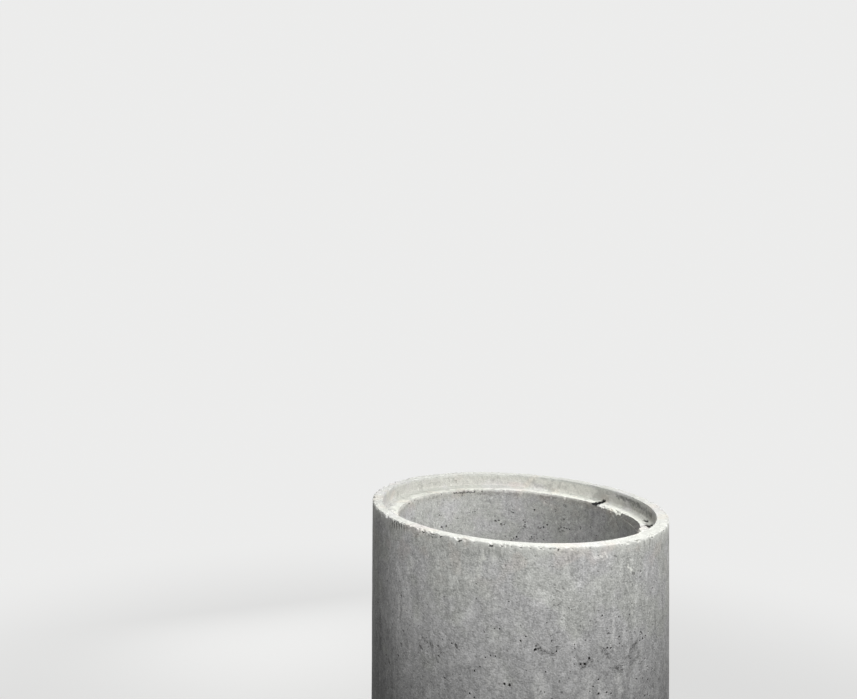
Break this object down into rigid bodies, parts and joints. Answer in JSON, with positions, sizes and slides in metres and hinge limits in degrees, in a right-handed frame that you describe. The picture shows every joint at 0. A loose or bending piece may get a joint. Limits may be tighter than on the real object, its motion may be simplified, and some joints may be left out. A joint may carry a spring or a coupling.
{
  "type": "concrete culvert ring",
  "caption": "Straight round concrete ring, open right through, with a rebated socket inside the upper rim and a stepped tongue at the foot.",
  "frame": {"origin": "centre of the tongue's end face, where the ring stands", "axes": "+Z is the ring's own axis, from the tongue at the foot to the socket at the rim; the ring is turned about it, so X and Y are free"},
  "size_m": [0.6199, 0.62, 1.035],
  "materials": {
    "cast_concrete": "matt cast concrete, pale on the rim and shelf, mid grey on the walls, with small blow holes"
  },
  "bodies": {
    "root": {"culvert_ring": "cast_concrete"}
  },
  "joints": []
}
